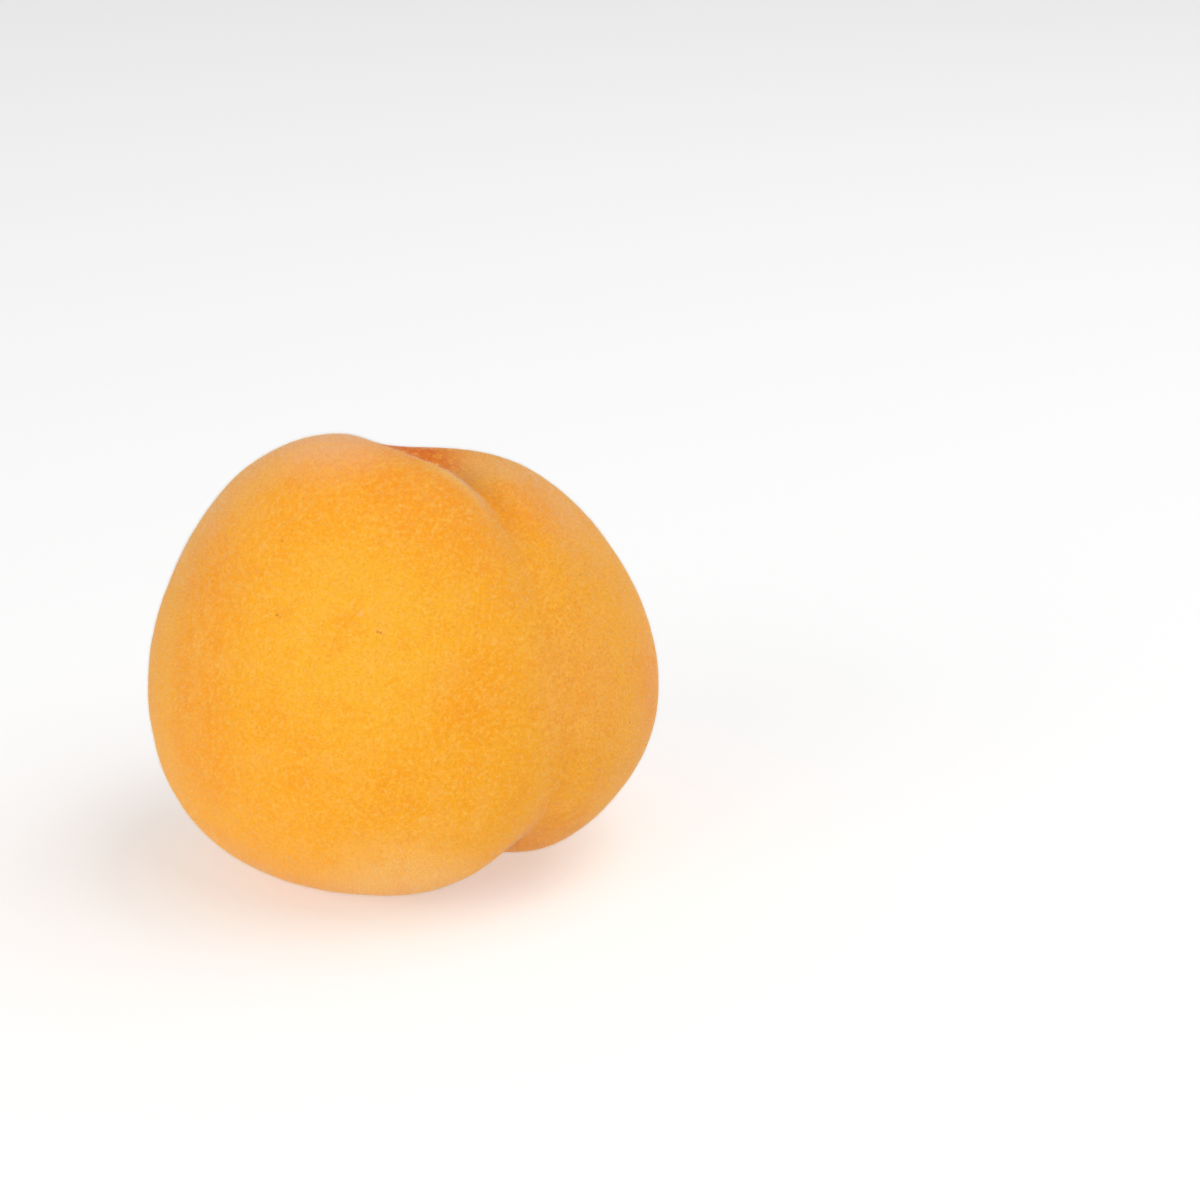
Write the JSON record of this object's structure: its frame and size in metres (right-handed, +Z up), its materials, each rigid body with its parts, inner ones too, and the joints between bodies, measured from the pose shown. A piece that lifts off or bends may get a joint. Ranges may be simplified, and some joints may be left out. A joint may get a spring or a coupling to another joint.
{
  "type": "peach",
  "caption": "Ripe yellow-orange peach with a velvety skin, a stem cavity and a suture, grown as one solid that rests on its pressed underside.",
  "frame": {"origin": "on the ground, under the centre of the fruit's box, level with the flat spots that it rests on", "axes": "+Z up as the fruit stands by itself, the suture facing -Y, the larger half to -X and the smaller half to +X; the stem end is up and leans a few degrees to the front and to the smaller half"},
  "size_m": [0.076, 0.0734, 0.0668],
  "materials": {
    "skin": "velvety fruit skin under a short pale down, warm yellow-orange, dull, faintly mottled"
  },
  "bodies": {
    "root": {"peach": "skin"}
  },
  "joints": []
}
